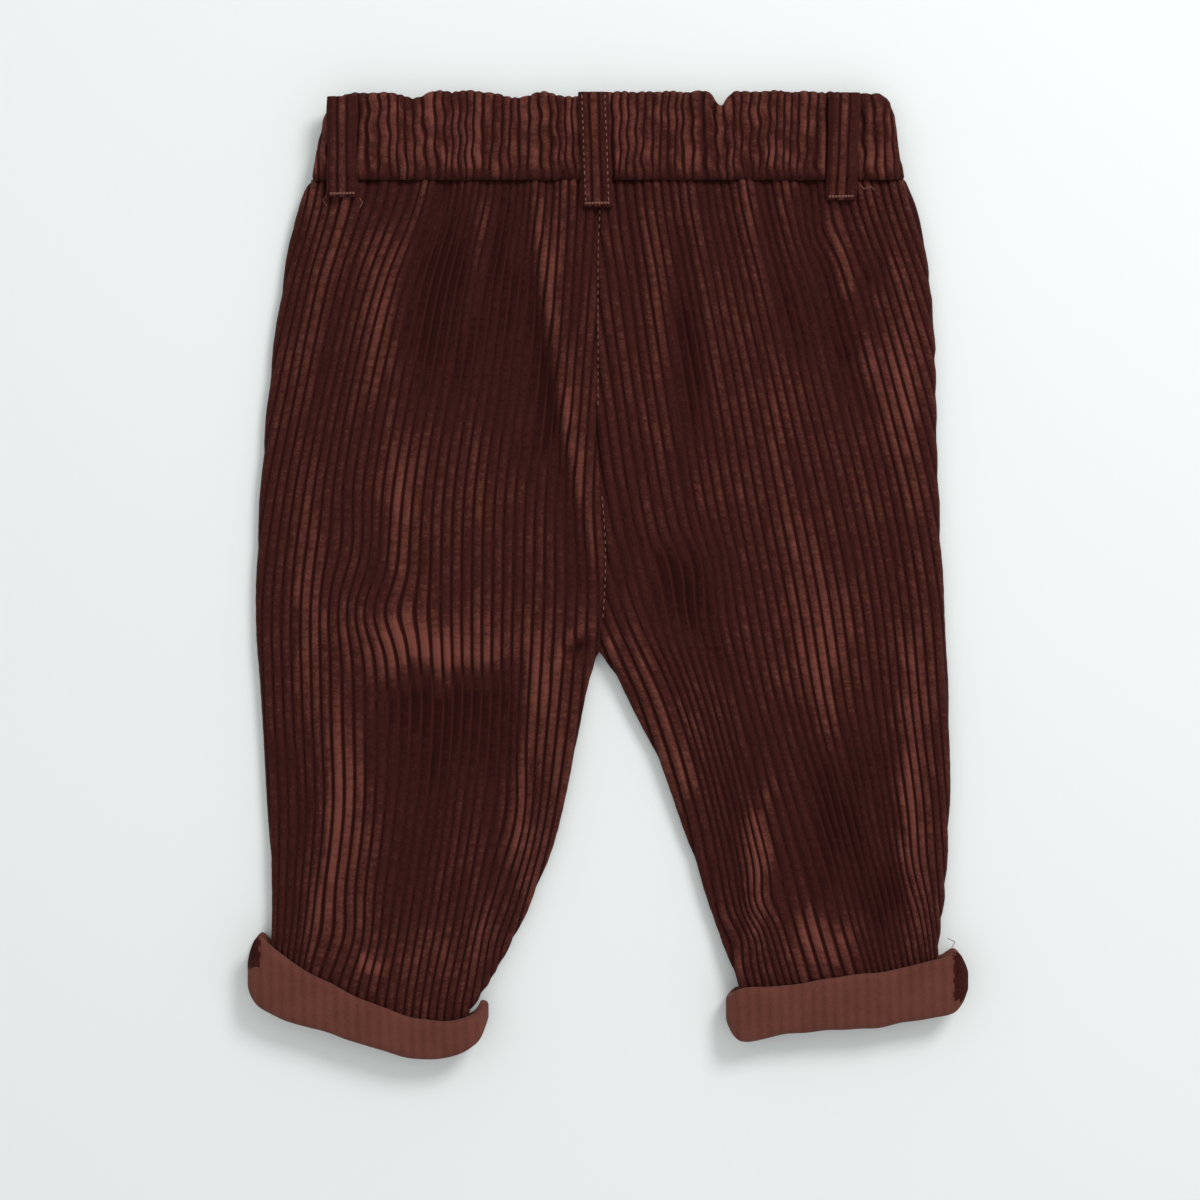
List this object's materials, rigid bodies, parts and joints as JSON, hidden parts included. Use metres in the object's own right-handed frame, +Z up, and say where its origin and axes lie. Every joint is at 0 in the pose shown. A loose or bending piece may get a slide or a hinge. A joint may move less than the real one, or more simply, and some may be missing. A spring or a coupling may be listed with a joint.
{
  "type": "corduroy trousers",
  "caption": "Baby's pull-on corduroy trousers laid flat with the back uppermost, with a gathered elastic waistband, belt loops and turned-up leg ends.",
  "frame": {"origin": "middle of the laid-out trousers, on the surface that they lie on", "axes": "+Z up, +Y towards the waist, +X to the right with the back of the trousers uppermost"},
  "size_m": [0.2736, 0.3676, 0.0127],
  "materials": {
    "corduroy": "wide ribbed cotton pile, matt with a soft sheen",
    "corduroy_wrong_side": "matt cotton twill, the wrong side of the corduroy"
  },
  "bodies": {
    "root": {"back_left": "corduroy", "back_right": "corduroy", "front_left": "corduroy", "front_right": "corduroy", "waistband": "corduroy", "belt_loop_left": "corduroy", "belt_loop_centre": "corduroy", "belt_loop_right": "corduroy", "turnup_left": "corduroy_wrong_side", "turnup_right": "corduroy_wrong_side"}
  },
  "joints": []
}
